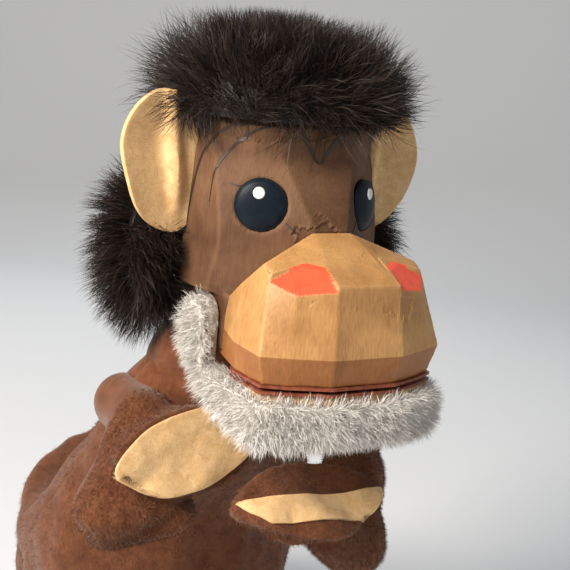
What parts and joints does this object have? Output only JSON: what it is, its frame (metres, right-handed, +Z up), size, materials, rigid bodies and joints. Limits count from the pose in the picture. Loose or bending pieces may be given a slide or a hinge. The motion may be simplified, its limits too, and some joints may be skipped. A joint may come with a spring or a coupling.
{
  "type": "moving mouth puppet",
  "caption": "Hand puppet with a carved wooden ape head, hinged jaw, felt ears, long fur and a sewn cloth glove with stuffed arms.",
  "frame": {"origin": "centre of the round arm opening at the glove's hem", "axes": "+Z up, -Y the way the face looks, +X to the puppet's left"},
  "size_m": [0.195, 0.3093, 0.4128],
  "materials": {
    "stained_wood": "brown stained, knife carved, satin",
    "natural_wood": "oiled basswood, knife carved, satin",
    "jaw_wood": "oiled basswood, knife carved, satin",
    "eye_paint": "dark enamel, semi-gloss",
    "glint_paint": "white enamel",
    "cream_felt": "thick wool felt",
    "black_fur": "long black-brown pile",
    "grey_fur": "short grey-white pile",
    "lip_leather": "red-brown leather",
    "brown_fleece": "brown napped cloth",
    "pin_wood": "birch dowel"
  },
  "bodies": {
    "torso": {"body_front_panel": "brown_fleece", "body_back_panel": "brown_fleece", "hem_band": "brown_fleece"},
    "neck": {"neck_collar": "brown_fleece"},
    "head": {"cranium": "stained_wood", "muzzle": "natural_wood", "right_eye": "eye_paint", "left_eye": "eye_paint", "eye_glints": "glint_paint", "right_ear": "cream_felt", "left_ear": "cream_felt", "crown_fur": "black_fur", "right_cheek_fur": "black_fur", "left_cheek_fur": "black_fur", "hinge_pins": "pin_wood", "upper_lip_leather": "lip_leather"},
    "lower_jaw": {"jaw": "jaw_wood", "lower_lip_leather": "lip_leather", "chin_fur": "grey_fur"},
    "right_arm": {"right_sleeve": "brown_fleece", "right_mitten": "brown_fleece", "right_palm": "cream_felt"},
    "left_arm": {"left_sleeve": "brown_fleece", "left_mitten": "brown_fleece", "left_palm": "cream_felt"}
  },
  "joints": [
    {"name": "head_turn", "type": "hinge", "parent": "torso", "child": "neck", "pos_m": [0, -0.122, 0.188], "axis": [0, 0, 1], "range_deg": [-15, 15]},
    {"name": "head_nod", "type": "hinge", "parent": "neck", "child": "head", "pos_m": [0, -0.122, 0.188], "axis": [1, 0, 0], "range_deg": [-15, 0]},
    {"name": "jaw_hinge", "type": "hinge", "parent": "head", "child": "lower_jaw", "pos_m": [0, -0.158, 0.222], "axis": [1, 0, 0], "range_deg": [0, 20]},
    {"name": "right_arm_swing", "type": "hinge", "parent": "torso", "child": "right_arm", "pos_m": [-0.066, -0.13, 0.16], "axis": [0, 1, 0], "range_deg": [0, 35]},
    {"name": "left_arm_swing", "type": "hinge", "parent": "torso", "child": "left_arm", "pos_m": [0.066, -0.13, 0.16], "axis": [0, 1, 0], "range_deg": [-35, 0]}
  ]
}
